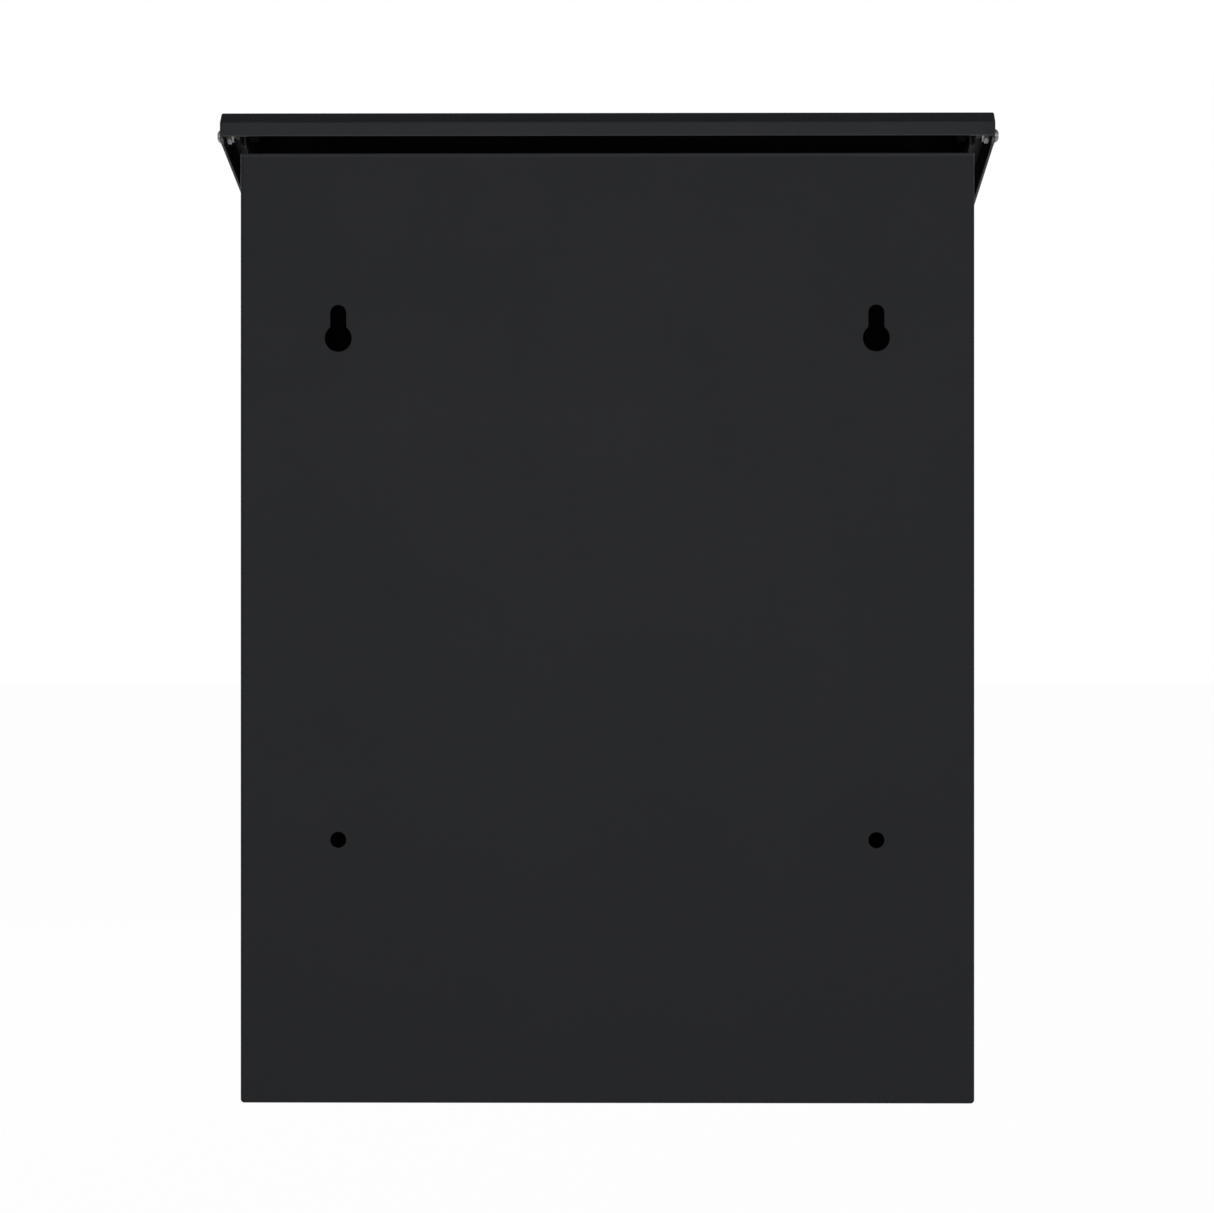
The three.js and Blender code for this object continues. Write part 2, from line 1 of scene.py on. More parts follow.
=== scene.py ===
"""Wall mounted mailbox: its finished pieces, built round the frame. Laid out as an add-on.

Everything is in metres in the frame's own axes: the back rests on the wall at y = 0, the
front faces -Y and +Z is up. Lengths of single pieces are written in millimetres. A piece's
profile is a list of corners (radius, distance along the axis), and a third number there is
the radius that rounds the corner.
"""
import math

import bmesh
import bpy
import numpy as np
from bpy.props import FloatProperty, FloatVectorProperty, PointerProperty
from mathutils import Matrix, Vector


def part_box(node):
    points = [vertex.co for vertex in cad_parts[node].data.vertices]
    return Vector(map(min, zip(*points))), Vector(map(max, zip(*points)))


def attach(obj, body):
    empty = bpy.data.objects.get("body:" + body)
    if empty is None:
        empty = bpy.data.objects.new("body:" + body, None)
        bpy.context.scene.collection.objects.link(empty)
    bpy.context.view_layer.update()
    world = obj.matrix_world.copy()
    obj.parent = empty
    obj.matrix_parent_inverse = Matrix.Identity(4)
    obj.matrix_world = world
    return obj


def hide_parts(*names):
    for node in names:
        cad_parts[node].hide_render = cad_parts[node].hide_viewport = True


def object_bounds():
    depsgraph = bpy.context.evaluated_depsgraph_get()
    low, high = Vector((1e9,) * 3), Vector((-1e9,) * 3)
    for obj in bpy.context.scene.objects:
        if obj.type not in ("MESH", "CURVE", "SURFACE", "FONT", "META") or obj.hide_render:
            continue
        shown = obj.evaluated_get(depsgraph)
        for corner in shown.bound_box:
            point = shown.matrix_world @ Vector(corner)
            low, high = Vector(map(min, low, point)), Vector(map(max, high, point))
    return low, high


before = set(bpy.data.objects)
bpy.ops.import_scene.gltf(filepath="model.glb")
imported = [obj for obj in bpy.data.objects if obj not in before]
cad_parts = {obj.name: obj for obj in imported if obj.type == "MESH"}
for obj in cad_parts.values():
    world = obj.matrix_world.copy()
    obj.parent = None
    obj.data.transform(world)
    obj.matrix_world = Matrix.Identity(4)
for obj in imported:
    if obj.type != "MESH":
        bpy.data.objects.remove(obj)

bl_info = {
    "name": "Wall Mailbox",
    "version": (1, 0, 0),
    "blender": (4, 5, 0),
    "location": "View3D > Sidebar > Mailbox",
    "description": "Builds the finished pieces of a wall mounted mailbox round its frame",
    "category": "Add Mesh",
}

MM = 0.001
FRAME_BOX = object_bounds()
SIDES = {"left": -1.0, "right": 1.0}
FORWARD = (0.0, -1.0, 0.0)
WHITE = (1.0, 1.0, 1.0, 1.0)
FLOOR_GLOW = 0.975
FLOOR_REACH = 14.0
FAR = 50.0

# Each softbox's place and size in metres, and the setting that gives its power.
SOFTBOXES = {
    "key": ((0.1, 2.4, 0.3), 1.6, "key_power"),
    "fill": ((-1.9, 1.2, 0.2), 1.4, "fill_power"),
    "front": ((0.9, -2.3, 0.9), 1.8, "key_power"),
}


# ------------------------------------------------------------------ shader expressions

class Wire:
    """An output socket of a node. Python's operators on it add Math nodes."""

    def __init__(self, nodes, socket):
        self.nodes = nodes
        self.socket = socket

    def math(self, operation, *values):
        """One Math node of these values, in order."""
        inputs = dict(enumerate(values))
        return self.nodes.node("ShaderNodeMath", {"operation": operation}, inputs)

    def __add__(self, other):
        return self.math("ADD", self, other)

    def __sub__(self, other):
        return self.math("SUBTRACT", self, other)

    def __mul__(self, other):
        return self.math("MULTIPLY", self, other)

    def __rsub__(self, other):
        return self.math("SUBTRACT", other, self)

    __radd__ = __add__
    __rmul__ = __mul__

    def larger(self, other):
        """The larger of two values."""
        return self.math("MAXIMUM", self, other)

    def smaller(self, other):
        """The smaller of two values."""
        return self.math("MINIMUM", self, other)

    def smooth(self, low, high):
        """0 below low, 1 above high, and a smooth step between; reversed if low > high."""
        settings = {"interpolation_type": "SMOOTHSTEP"}
        inputs = {"Value": self, "From Min": low, "From Max": high}
        return self.nodes.node("ShaderNodeMapRange", settings, inputs)


class Nodes:
    """A node tree whose nodes are all added by one method."""

    def __init__(self, tree):
        self.tree = tree

    def fill(self, made, inputs):
        """Sets a node's sockets to values, or links them."""
        for key, value in inputs.items():
            if isinstance(value, Wire):
                self.tree.links.new(value.socket, made.inputs[key])
            else:
                made.inputs[key].default_value = value

    def node(self, kind, settings, inputs, output=0):
        """Adds a node: its settings first, then its sockets' values or links."""
        made = self.tree.nodes.new(kind)
        for name, value in settings.items():
            setattr(made, name, value)
        self.fill(made, inputs)
        return Wire(self, made.outputs[output])


class Finish(Nodes):
    """A material made of nodes, patterned on Object coordinates."""

    def __init__(self, name):
        self.material = bpy.data.materials.new(name)
        self.material.use_nodes = True
        super().__init__(self.material.node_tree)
        self.shader = self.tree.nodes["Principled BSDF"]
        self.place = self.node("ShaderNodeTexCoord", {}, {}, "Object")

    def noise(self, grain, detail=2.0, stretch=(1.0, 1.0, 1.0)):
        """Noise whose features are about grain millimetres across."""
        place = self.node(
            "ShaderNodeVectorMath", {"operation": "MULTIPLY"}, {0: self.place, 1: stretch}
        )
        inputs = {"Vector": place, "Scale": 1.0 / (grain * MM), "Detail": detail}
        return self.node("ShaderNodeTexNoise", {}, inputs, "Fac")

    def mix(self, factor, first, second):
        """Two colours blended by factor; either may be a wire."""
        ends = [end if isinstance(end, Wire) else (*end, 1.0) for end in (first, second)]
        inputs = {0: factor, 6: ends[0], 7: ends[1]}
        return self.node("ShaderNodeMix", {"data_type": "RGBA"}, inputs, 2)

    def bump(self, height, depth, strength=1.0):
        """A Normal from a height of 0 to 1 that stands for depth millimetres."""
        inputs = {"Height": height, "Distance": depth * MM, "Strength": strength}
        return self.node("ShaderNodeBump", {}, inputs, "Normal")

    def feed(self, values):
        """Links or sets the shader's own sockets."""
        self.fill(self.shader, values)
        return self.material


def shade(color, factor):
    """A colour made lighter or darker by a factor."""
    return tuple(min(1.0, channel * factor) for channel in color)


def powder_coat(name, settings, gloss=0.0, lift=1.0, rim="", top=None):
    """Matte powder coat: fine pebbling, a soft long wave, and faint clouding of the colour.

    gloss lowers the roughness and lift scales the colour; a lift above 1 paints a lighter copy of
    the coat for a part that is lit more brightly.
    The rim argument names an attribute that is 1 along free edges, where a painted highlight pales
    the coat towards the highlight colour.
    top is the height, in millimetres, of a cut edge below which a narrow band of the coat is
    painted faintly paler, as a highlight.
    """
    cloud_width, fleck_lift, pebble_depth, shine = 55.0, 2.4, 0.035, 0.12
    finish = Finish(name)
    pebble = finish.noise(settings.coat_grain, detail=3.0)
    wave = finish.noise(6.0 * settings.coat_grain, detail=1.0)
    cloud = finish.noise(cloud_width, detail=3.0)
    fleck = finish.noise(0.45 * settings.coat_grain, detail=1.0).smooth(0.62, 0.74)
    tone = (pebble * 0.45 + cloud * 0.35 + wave * 0.2).smooth(0.32, 0.68)
    # A lift above 1 paints a lighter copy of the same coat, standing in for brighter light on that
    # part.
    coat = shade(settings.coat_color, lift)
    base = finish.mix(
        tone, shade(coat, 1.0 - settings.coat_mottle), shade(coat, 1.0 + settings.coat_mottle)
    )
    base = finish.mix(fleck * 0.35, base, shade(coat, fleck_lift))
    # Painted highlight: along the lid's rear edges the coat is paled towards the highlight colour,
    # standing in for light caught by the rounded edges.
    if rim:
        edge_highlight = finish.node("ShaderNodeAttribute", {"attribute_name": rim}, {}, "Fac")
        edge_highlight = edge_highlight.smaller(1.0) * (0.75 + 0.5 * pebble)
        base = finish.mix(edge_highlight, base, settings.rim_color)
    # Painted highlight: a narrow paler band just below the back panel's top edge.
    if top is not None:
        height = finish.node("ShaderNodeSeparateXYZ", {}, {0: finish.place}, 2) * (1.0 / MM)
        band = height.smooth(top - 1.9, top - 1.0) * height.smooth(top + 0.3, top + 0.1)
        base = finish.mix(settings.top_highlight * band, base, settings.rim_color)
    return finish.feed({
        "Base Color": base,
        "Roughness": settings.coat_roughness - gloss + 0.12 * (tone - 0.5),
        "Specular IOR Level": shine,
        "Normal": finish.bump(pebble * 0.7 + wave * 0.3, pebble_depth, 0.6),
    })


def zinc_plate(name, settings):
    """Bright zinc: cool grey with pale yellow clouds, a fine grain and dull patches."""
    cloud_width, grain_width, grain_depth = 2.6, 0.22, 0.006
    yellow = (0.27, 0.262, 0.235)
    finish = Finish(name)
    cloud = finish.noise(cloud_width, detail=3.0)
    grain = finish.noise(grain_width)
    # The grey is the zinc colour setting, which is darkened as painted shade.
    tint = finish.mix(cloud.smooth(0.35, 0.7), settings.zinc_and_shade_color, yellow)
    return finish.feed({
        "Base Color": tint,
        "Metallic": 1.0,
        "Roughness": 0.27 + 0.16 * cloud + 0.08 * grain,
        "Normal": finish.bump(grain, grain_depth, 0.5),
    })


def polished_plate(name, settings):
    """Polished plate on the lock: clear reflections, hairline scratches, faint haze."""
    haze_width, hair_width, hair_depth = 5.0, 0.3, 0.003
    finish = Finish(name)
    haze = finish.noise(haze_width, detail=3.0)
    hairs = finish.noise(hair_width, detail=3.0, stretch=(0.15, 1.0, 1.0))
    tint = finish.mix(haze, shade(settings.plate_color, 0.92), settings.plate_color)
    return finish.feed({
        "Base Color": tint,
        "Metallic": 1.0,
        "Roughness": 0.1 + 0.1 * haze + 0.06 * hairs,
        "Normal": finish.bump(hairs, hair_depth, 0.35),
    })


def moulded(name, settings, color, rough, grain=0.35, shine=0.4):
    """Moulded nylon or rubber: a fine even grain with slight tone changes."""
    grain_depth = 0.012
    finish = Finish(name)
    fine = finish.noise(grain)
    broad = finish.noise(9.0 * grain)
    tone = (fine * 0.5 + broad * 0.5).smooth(0.35, 0.65)
    return finish.feed({
        "Base Color": finish.mix(tone, shade(color, 0.86), shade(color, 1.12)),
        "Roughness": rough + settings.moulded_spread * (broad - 0.5),
        "Specular IOR Level": shine,
        "Normal": finish.bump(fine, grain_depth, 0.5),
    })


def finish_for(key):
    """The material of one of the record's slots, or of the box or the lid, made once."""
    settings = bpy.context.scene.mailbox_finish
    makers = {
        "black_coat": ("powder_coat", powder_coat, {}),
        # The box's coat carries a painted highlight band below the back panel's top edge.
        "box_coat": ("box_coat", powder_coat, {"top": box_top()}),
        # The lid's coat is a painted lighter copy of the box's coat, for the lid's brighter light,
        # with a painted highlight along its rear edges.
        "lid_coat": ("lid_coat", powder_coat, {"gloss": 0.06, "lift": 1.25, "rim": "rim"}),
        "zinc": ("zinc_plate", zinc_plate, {}),
        "chrome": ("polished_plate", polished_plate, {}),
        # The nylon colour is black nylon's own, made darker still as painted shade.
        "black_nylon": (
            "moulded_black", moulded, {"color": settings.nylon_and_shade_color, "rough": 0.75, "shine": 0.08}
        ),
        "white_nylon": ("moulded_white", moulded, {"color": settings.washer_color, "rough": 0.4}),
        "rubber": (
            "soft_rubber", moulded, {"color": settings.rubber_color, "rough": 0.75, "grain": 0.5}
        ),
    }
    name, make, options = makers[key]
    return bpy.data.materials.get(name) or make(name, settings, **options)


# ------------------------------------------------------------------ surfaces

def rounded(corners, steps=6):
    """An open line through corners (u, v, radius), each radius turned as an arc.

    The arc's centre lies on the corner's bisector, radius / sin(half the angle) away.
    """
    corners = [np.array(corner, float) for corner in corners]
    points = [corners[0][:2]]
    for before, corner, after in zip(corners, corners[1:], corners[2:]):
        radius = corner[2] if len(corner) > 2 else 0.0
        if radius <= 0.0:
            points.append(corner[:2])
            continue
        back = before[:2] - corner[:2]
        on = after[:2] - corner[:2]
        back /= np.linalg.norm(back)
        on /= np.linalg.norm(on)
        half = math.acos(float(back @ on)) / 2
        inward = (back + on) / np.linalg.norm(back + on)
        centre = corner[:2] + inward * radius / math.sin(half)
        spoke = corner[:2] + back * radius / math.tan(half) - centre
        turn = -math.copysign(math.pi - 2 * half, back[0] * on[1] - back[1] * on[0])
        angle = turn * np.linspace(0.0, 1.0, steps + 1)[:, None]
        across = np.array([-spoke[1], spoke[0]])
        points.extend(centre + spoke * np.cos(angle) + across * np.sin(angle))
    points.append(corners[-1][:2])
    return np.array(points)


def refined(line, step):
    """The same line with points no more than about step apart, its corners kept."""
    pieces = []
    for start, end in zip(line, line[1:]):
        count = max(1, math.ceil(float(np.linalg.norm(end - start)) / step))
        share = np.arange(count)[:, None] / count
        pieces.append(start + (end - start) * share)
    return np.vstack(pieces + [line[-1:]])


def sheet_of(name, points, wrap=False, rim=None):
    """A mesh object of quads over a grid of points (rows, columns, 3).

    wrap joins the last column to the first. Rows that shrink to a point become a pole. rim
    is a number for each point, kept as an attribute of that name.
    """
    rows, columns = points.shape[:2]
    index = np.arange(rows * columns).reshape(rows, columns)
    if wrap:
        index = np.hstack([index, index[:, :1]])
    quads = np.stack([index[:-1, :-1], index[:-1, 1:], index[1:, 1:], index[1:, :-1]], axis=-1)
    mesh = bpy.data.meshes.new(name)
    mesh.from_pydata(points.reshape(-1, 3).tolist(), [], quads.reshape(-1, 4).tolist())
    if rim is not None:
        mesh.attributes.new("rim", "FLOAT", "POINT").data.foreach_set("value", rim.ravel())
    work = bmesh.new()
    work.from_mesh(mesh)
    bmesh.ops.remove_doubles(work, verts=work.verts, dist=1e-7)
    bmesh.ops.recalc_face_normals(work, faces=work.faces)
    work.to_mesh(mesh)
    work.free()
    piece = bpy.data.objects.new(name, mesh)
    bpy.context.scene.collection.objects.link(piece)
    return piece


def turned(name, profile, centre, along, sides=72, change=None):
    """A profile of (radius, distance) in millimetres carried round an axis.

    A point is centre + distance * along + radius * (cos a * across + sin a * up). change
    takes the grids of radius, distance and angle, and gives back the first two altered.
    """
    along = np.array(along, float)
    up = np.array((0.0, 0.0, 1.0)) if abs(along[2]) < 0.5 else np.array((1.0, 0.0, 0.0))
    across = np.cross(up, along)
    angle = np.linspace(0.0, 2 * np.pi, sides, endpoint=False)[None, :]
    radius = np.repeat(profile[:, :1], sides, axis=1)
    distance = np.repeat(profile[:, 1:], sides, axis=1)
    if change:
        radius, distance = change(radius, distance, angle)
    spoke = np.cos(angle)[..., None] * across + np.sin(angle)[..., None] * up
    points = radius[..., None] * spoke + distance[..., None] * along
    return sheet_of(name, np.array(centre) + MM * points, wrap=True)


def flats(radius, angle, across_flats, count):
    """The radius cut to a regular polygon: half the flats over cos of the turn from one."""
    step = 2 * np.pi / count
    turn = np.mod(angle + step / 2, step) - step / 2
    return np.minimum(radius, 0.5 * across_flats / np.cos(turn))


def thread(radius, distance, angle, crest, pitch, start, end):
    """A helical thread: the radius falls as a triangle wave of distance / pitch - turns.

    It fades out over one pitch at each end, and only touches radii near the crest.
    """
    depth = 0.55 * pitch
    phase = np.mod(distance / pitch - angle / (2 * np.pi), 1.0)
    valley = 1.0 - np.abs(2.0 * phase - 1.0)
    inside = np.clip((distance - start) / pitch, 0, 1) * np.clip((end - distance) / pitch, 0, 1)
    on_shank = np.abs(radius - crest) < 0.02 * crest
    return np.where(on_shank, radius - depth * valley * inside, radius)


def soft_step(value, low, high):
    """0 below low, 1 above high, with the cubic 3t^2 - 2t^3 between."""
    share = np.clip((value - low) / (high - low), 0.0, 1.0)
    return share * share * (3.0 - 2.0 * share)


def slot_depth(radius, angle, half_width, half_length, edge=0.12):
    """1 inside a straight slot across the axis and 0 outside, with sloping walls."""
    x = np.abs(radius * np.cos(angle))
    y = np.abs(radius * np.sin(angle))
    across = 1.0 - soft_step(x, half_width - edge, half_width + edge)
    length = 1.0 - soft_step(y, half_length - edge, half_length + edge)
    return across * length


def softened(node, width):
    """A copy of a frame node's solid with its sharp edges rounded over width millimetres.

    Flat faces that were cut into triangles are joined again first, so that only true edges
    are rounded.
    """
    weld, flat, turn = 0.001 * MM, math.radians(0.5), math.radians(40)
    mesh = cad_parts[node].data.copy()
    mesh.name = node + "_finished"
    mesh.materials.clear()
    work = bmesh.new()
    work.from_mesh(mesh)
    bmesh.ops.remove_doubles(work, verts=work.verts, dist=weld)
    bmesh.ops.dissolve_limit(work, angle_limit=flat, verts=work.verts, edges=work.edges)
    work.to_mesh(mesh)
    work.free()
    piece = bpy.data.objects.new(mesh.name, mesh)
    bpy.context.scene.collection.objects.link(piece)
    edge = piece.modifiers.new("edge", "BEVEL")
    edge.width = width * MM
    edge.segments = 3
    edge.limit_method = "ANGLE"
    edge.angle_limit = turn
    edge.use_clamp_overlap = False
    edge.miter_outer = "MITER_ARC"
    normals = piece.modifiers.new("normals", "WEIGHTED_NORMAL")
    normals.keep_sharp = True
    return piece


def settle(piece, node, body, slot, sharp=35.0, finish=""):
    """Gives a piece its finish and shading, and puts it on its body in its node's place.

    sharp is the angle in degrees past which an edge is shaded as sharp. finish is a key of
    finish_for where that isn't the slot.
    """
    piece.data.materials.append(finish_for(finish or slot))
    piece.data.polygons.foreach_set("use_smooth", [True] * len(piece.data.polygons))
    piece.data.set_sharp_from_angle(angle=math.radians(sharp))
    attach(piece, body)
    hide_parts(node)
    return piece


def middle(node):
    """The centre of a node's box."""
    low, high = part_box(node)
    return (low + high) / 2


def size_of(node):
    """The width, depth and height of a node's box, in millimetres."""
    low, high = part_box(node)
    return [(end - start) / MM for start, end in zip(low, high)]


def on_axis(node, axis, end):
    """The middle of a node's box, moved along one axis to its low (0) or high (1) end."""
    point = middle(node)
    point[axis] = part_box(node)[end][axis]
    return point


def outer_end(node, side):
    """The end of a pivot piece that faces away from the box, and that direction."""
    return on_axis(node, 0, int(side > 0)), (side, 0.0, 0.0)


# ------------------------------------------------------------------ settings

class MailboxFinish(bpy.types.PropertyGroup):
    """Colours and textures."""

    coat_color: FloatVectorProperty(
        name="Coat colour", description="Base colour of the powder coat",
        subtype="COLOR", size=3, min=0, max=1, default=(0.0115, 0.0122, 0.0142),
    )
    coat_mottle: FloatProperty(
        name="Coat clouding", description="How far the coat's tone varies either way",
        subtype="FACTOR", min=0, max=0.5, default=0.14,
    )
    coat_roughness: FloatProperty(
        name="Coat roughness", description="Roughness of the powder coat",
        subtype="FACTOR", min=0, max=1, default=0.5,
    )
    coat_grain: FloatProperty(
        name="Coat grain", description="Width of the coat's pebbling in millimetres",
        min=0.1, max=5, default=0.9,
    )
    # Colour of the painted highlights, which pale the coat along the lid's rear edges and below
    # the back panel's top edge.
    rim_color: FloatVectorProperty(
        name="Rim colour", description="Colour of rubbed edges of the coat",
        subtype="COLOR", size=3, min=0, max=1, default=(0.15, 0.153, 0.16),
    )
    # Strength of the painted highlight band below the back panel's top edge.
    top_highlight: FloatProperty(
        name="Edge wear", description="How far the coat pales below the back panel's top edge",
        subtype="FACTOR", min=0, max=1, default=0.15,
    )
    # The zinc grey is darker than bright zinc: painted shade for the lid's pivot hardware in the
    # shade under the lid, given to every zinc part.
    zinc_and_shade_color: FloatVectorProperty(
        name="Zinc colour", description="Base colour of the zinc plated hardware",
        subtype="COLOR", size=3, min=0, max=1, default=(0.21, 0.22, 0.24),
    )
    plate_color: FloatVectorProperty(
        name="Lock plate colour", description="Base colour of the lock's polished plate",
        subtype="COLOR", size=3, min=0, max=1, default=(0.66, 0.67, 0.68),
    )
    # Black nylon darkened further as painted shade, for the caps and bushings in the shade under
    # the lid's rear wall.
    nylon_and_shade_color: FloatVectorProperty(
        name="Nylon colour", description="Base colour of the lid pivots' caps and bushings",
        subtype="COLOR", size=3, min=0, max=1, default=(0.0035, 0.0035, 0.0039),
    )
    washer_color: FloatVectorProperty(
        name="Washer colour", description="Base colour of the door's nylon washers",
        subtype="COLOR", size=3, min=0, max=1, default=(0.66, 0.64, 0.58),
    )
    rubber_color: FloatVectorProperty(
        name="Rubber colour", description="Base colour of the lid's bumpers",
        subtype="COLOR", size=3, min=0, max=1, default=(0.013, 0.013, 0.014),
    )
    moulded_spread: FloatProperty(
        name="Moulded spread", description="How far the roughness of moulded pieces varies",
        subtype="FACTOR", min=0, max=0.5, default=0.1,
    )
    sheet_edge: FloatProperty(
        name="Sheet edge", description="Rounding of cut sheet edges in millimetres",
        min=0.05, max=0.45, default=0.25,
    )


class MailboxLid(bpy.types.PropertyGroup):
    """Sizes of the lid, in millimetres."""

    sheet: FloatProperty(
        name="Sheet", description="Thickness of the lid's sheet", min=0.5, max=3, default=1.2,
    )
    bend: FloatProperty(
        name="Bend", description="Outside radius of the lid's bends", min=1.3, max=4, default=1.6,
    )
    side_bend: FloatProperty(
        name="Side bend", description="Outside radius where the skirts turn down",
        min=0.3, max=1.5, default=0.8,
    )
    edge: FloatProperty(
        name="Rolled edge", description="Rounding of the lid's free edges",
        min=0.05, max=0.58, default=0.22,
    )
    # Height of the painted highlight band along the lid's rear edges.
    rim: FloatProperty(
        name="Rim", description="Height of the rubbed rim along the lid's rear edges",
        min=0.1, max=3, default=0.6,
    )
    # Strength of the painted highlight along the rear wall's foot.
    foot_highlight: FloatProperty(
        name="Foot wear", description="How far the rear wall's foot is rubbed, as a share",
        subtype="FACTOR", min=0, max=1, default=0.22,
    )
    rear_lift: FloatProperty(
        name="Rear gap", description="Top of the box up to the lid's rear wall",
        min=0, max=30, default=7.5,
    )
    rear_height: FloatProperty(
        name="Rear wall", description="Height of the lid's rear wall", min=1, max=30, default=6.0,
    )
    chamfer: FloatProperty(
        name="Ridge chamfer", description="Depth and height of the chamfer along the ridge",
        min=0, max=20, default=4.5,
    )
    skirt: FloatProperty(
        name="Skirt", description="Height of the skirts and of the front lip",
        min=5, max=60, default=13.2,
    )
    corner: FloatProperty(
        name="Skirt corner", description="Radius of the skirts' lower rear corners",
        min=1, max=20, default=7.0,
    )


class MailboxStage(bpy.types.PropertyGroup):
    """Camera, floor and lights."""

    distance: FloatProperty(
        name="Camera distance", description="Camera to the wall face",
        unit="LENGTH", min=0.3, max=5, default=1.045,
    )
    aside: FloatProperty(
        name="Camera aside", description="Camera's place along X", unit="LENGTH", default=-0.0175,
    )
    height: FloatProperty(
        name="Camera height", description="Camera above the middle of the box",
        unit="LENGTH", default=0.0089,
    )
    yaw: FloatProperty(
        name="Camera yaw", description="Turn of the camera from square to the wall",
        unit="ROTATION", default=math.radians(0.4),
    )
    shift: FloatProperty(
        name="Camera shift", description="Sideways shift as a share of the picture's width",
        min=-0.1, max=0.1, default=-0.0205,
    )
    lens: FloatProperty(
        name="Lens", description="Focal length in millimetres", min=20, max=200, default=75.39,
    )
    floor_drop: FloatProperty(
        name="Floor drop", description="Lowest point of the mailbox down to the floor",
        unit="LENGTH", min=0, max=2, default=0.25,
    )
    ambient: FloatProperty(
        name="Ambient", description="Strength of the light from all round",
        min=0, max=2, default=0.55,
    )
    overhead: FloatProperty(
        name="Overhead", description="Light from straight above as a share of the horizon's",
        subtype="FACTOR", min=0, max=1, default=0.22,
    )
    key_power: FloatProperty(
        name="Key light", description="Power of the main softbox",
        unit="POWER", min=0, max=500, default=18.0,
    )
    fill_power: FloatProperty(
        name="Fill light", description="Power of the fill softbox",
        unit="POWER", min=0, max=500, default=8.0,
    )


# ------------------------------------------------------------------ operators

class MAILBOX_OT_sheet_pieces(bpy.types.Operator):
    """Builds the box, the front frame and the door from folded sheet."""

    bl_idname = "mailbox.sheet_pieces"
    bl_label = "Box, frame and door"

    def execute(self, context):
        width = context.scene.mailbox_finish.sheet_edge
        pieces = (
            ("body_shell", "box", "box_coat"),
            ("front_frame", "box", "black_coat"),
            ("door_panel", "door", "black_coat"),
        )
        for node, body, finish in pieces:
            settle(softened(node, width), node, body, "black_coat", sharp=50.0, finish=finish)
        return {"FINISHED"}


def lid_lines(lid):
    """The lid's fold line and the skirt's foot line, each as (depth, z) in millimetres.

    The fold line runs from the rear wall's foot over the ridge to the front lip's foot. The
    foot line runs from the skirt's rear end round its corner to the same front foot.
    """
    low, high = (np.array(corner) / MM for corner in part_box("lid_shell"))
    rear, front, lip_foot = -high[1], -low[1], low[2]
    arc_steps = 14
    wall_foot = box_top() + lid.rear_lift
    shoulder = wall_foot + lid.rear_height
    ridge, ridge_z = rear + lid.chamfer, shoulder + lid.chamfer
    slope_end = lip_foot + lid.skirt
    fall = (ridge_z - slope_end) / (front - ridge)
    fold = rounded([
        (rear, wall_foot),
        (rear, shoulder, lid.bend),
        (ridge, ridge_z, lid.bend),
        (front, slope_end, lid.bend),
        (front, lip_foot),
    ])
    corner_z = lip_foot + fall * (front - rear)
    foot = rounded([
        (rear, wall_foot + lid.corner),
        (rear, corner_z, lid.corner),
        (front, lip_foot),
    ], steps=arc_steps)
    foot = foot[foot[:, 1] <= wall_foot]
    return fold, foot


def box_top():
    """Height of the top edge of the back panel, in millimetres.

    The box is centred on the frame's origin, so its top is as high as its foot is low.
    """
    return -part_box("body_shell")[0].z / MM


def shares_of(line):
    """Each point's share of the line's length, from 0 to 1."""
    run = np.concatenate([[0.0], np.cumsum(np.linalg.norm(np.diff(line, axis=0), axis=1))])
    return run / run[-1]


def along_line(line, shares):
    """Points at these shares of a line's length."""
    own = shares_of(line)
    return np.stack([np.interp(shares, own, line[:, axis]) for axis in (0, 1)], axis=1)


